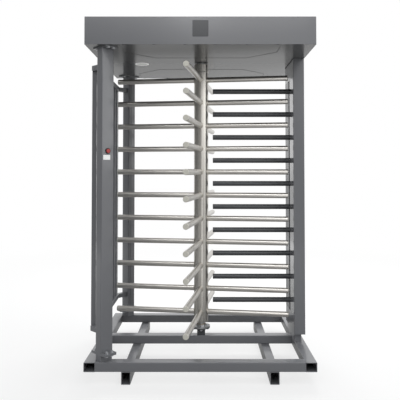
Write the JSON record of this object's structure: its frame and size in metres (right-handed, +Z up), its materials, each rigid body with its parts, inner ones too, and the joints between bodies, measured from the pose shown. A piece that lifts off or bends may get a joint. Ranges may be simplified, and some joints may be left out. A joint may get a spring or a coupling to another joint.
{
  "type": "full height turnstile",
  "caption": "Full height turnstile: canopy, four-wing stainless rotor, fixed comb bars, guard rail and tubular base frame.",
  "frame": {"origin": "on the floor under the rotor's axis, which is the centre of the unit in plan", "axes": "+Z up along the rotor's axis, -Y towards the entry side in the picture, +X towards the comb column"},
  "size_m": [1.5, 1.3, 2.367],
  "materials": {
    "paint_grey": "semi-gloss grey powder coat",
    "paint_dark": "glossy graphite powder coat",
    "stainless": "brushed stainless tube",
    "steel_bright": "machined bright steel",
    "zinc": "zinc plated",
    "bronze": "sintered bronze",
    "plastic_black": "moulded",
    "plastic_pale": "moulded end caps",
    "plastic_red": "moulded",
    "plate_white": "blank white coated plate",
    "window_dark": "smoked window",
    "lens_white": "opal lens",
    "box_grey": "moulded box"
  },
  "bodies": {
    "frame": {"base_rail_left": "paint_grey", "base_rail_right": "paint_grey", "base_front_beam": "paint_grey", "base_middle_beam": "paint_grey", "base_rear_beam": "paint_grey", "runner_left": "paint_grey", "runner_right": "paint_grey", "bearing_pedestal": "paint_dark", "lower_bearing_housing": "steel_bright", "lower_bush": "bronze", "frame_bolts": "zinc", "front_post": "paint_grey", "front_post_cover": "paint_grey", "front_post_foot": "paint_grey", "rear_post": "paint_grey", "rear_post_cover": "paint_grey", "rear_post_foot": "paint_grey", "front_button_barrel": "plastic_black", "rear_button_barrel": "plastic_black", "button_plates": "plate_white", "guard_top_rail": "paint_grey", "guard_bottom_rail": "paint_grey", "guard_slats": "paint_grey", "comb_column_shell": "paint_grey", "comb_panel_front": "paint_grey", "comb_panel_rear": "paint_grey", "comb_spine": "paint_dark", "comb_column_foot": "paint_grey", "comb_bars": "paint_dark", "canopy_shell": "paint_grey", "canopy_underside": "paint_grey", "service_hatch_front": "paint_grey", "service_hatch_rear": "paint_grey", "hatch_screws": "zinc", "indicator_windows": "window_dark", "downlight_rim": "stainless", "downlight_lens": "lens_white", "mechanism_plate": "steel_bright", "upper_bearing_housing": "steel_bright", "upper_bearing_outer": "steel_bright", "lock_solenoids": "plastic_black", "damper_body": "plastic_black", "control_box": "box_grey"},
    "rotor": {"rotor_column": "stainless", "rotor_pivot": "steel_bright", "rotor_shaft": "steel_bright", "rotor_top_sleeve": "stainless", "wing_front": "stainless", "wing_right": "stainless", "wing_rear": "stainless", "wing_left": "stainless", "arm_end_caps": "plastic_pale", "upper_bearing_inner": "steel_bright", "lock_disc": "steel_bright", "drive_gear": "steel_bright"},
    "front_button": {"front_button_cap": "plastic_red"},
    "rear_button": {"rear_button_cap": "plastic_red"},
    "pawl_in": {"lock_pawl_in": "steel_bright"},
    "pawl_out": {"lock_pawl_out": "steel_bright"},
    "damper": {"damper_pinion": "steel_bright"}
  },
  "joints": [
    {"name": "rotor_turn", "type": "hinge", "parent": "frame", "child": "rotor", "pos_m": [0, 0, 0], "axis": [0, 0, 1], "continuous": true},
    {"name": "damper_spin", "type": "hinge", "parent": "frame", "child": "damper", "pos_m": [-0.07778, -0.07778, 2.28], "axis": [0, 0, 1], "continuous": true},
    {"name": "lock_in_swing", "type": "hinge", "parent": "frame", "child": "pawl_in", "pos_m": [-0.02263, 0.13576, 2.25], "axis": [0, 0, 1], "range_deg": [0, 14], "stiffness_Nm_per_rad": 0.3},
    {"name": "lock_out_swing", "type": "hinge", "parent": "frame", "child": "pawl_out", "pos_m": [0.13576, -0.02263, 2.25], "axis": [0, 0, 1], "range_deg": [-14, 0], "stiffness_Nm_per_rad": 0.3},
    {"name": "front_button_press", "type": "slide", "parent": "frame", "child": "front_button", "axis": [-0.7071, 0.7071, 0], "range_m": [0, 0.004], "stiffness_N_per_m": 600},
    {"name": "rear_button_press", "type": "slide", "parent": "frame", "child": "rear_button", "axis": [-0.7071, -0.7071, 0], "range_m": [0, 0.004], "stiffness_N_per_m": 600}
  ],
  "couplings": [
    {"joint": "damper_spin", "follows": "rotor_turn", "ratio": -4}
  ]
}
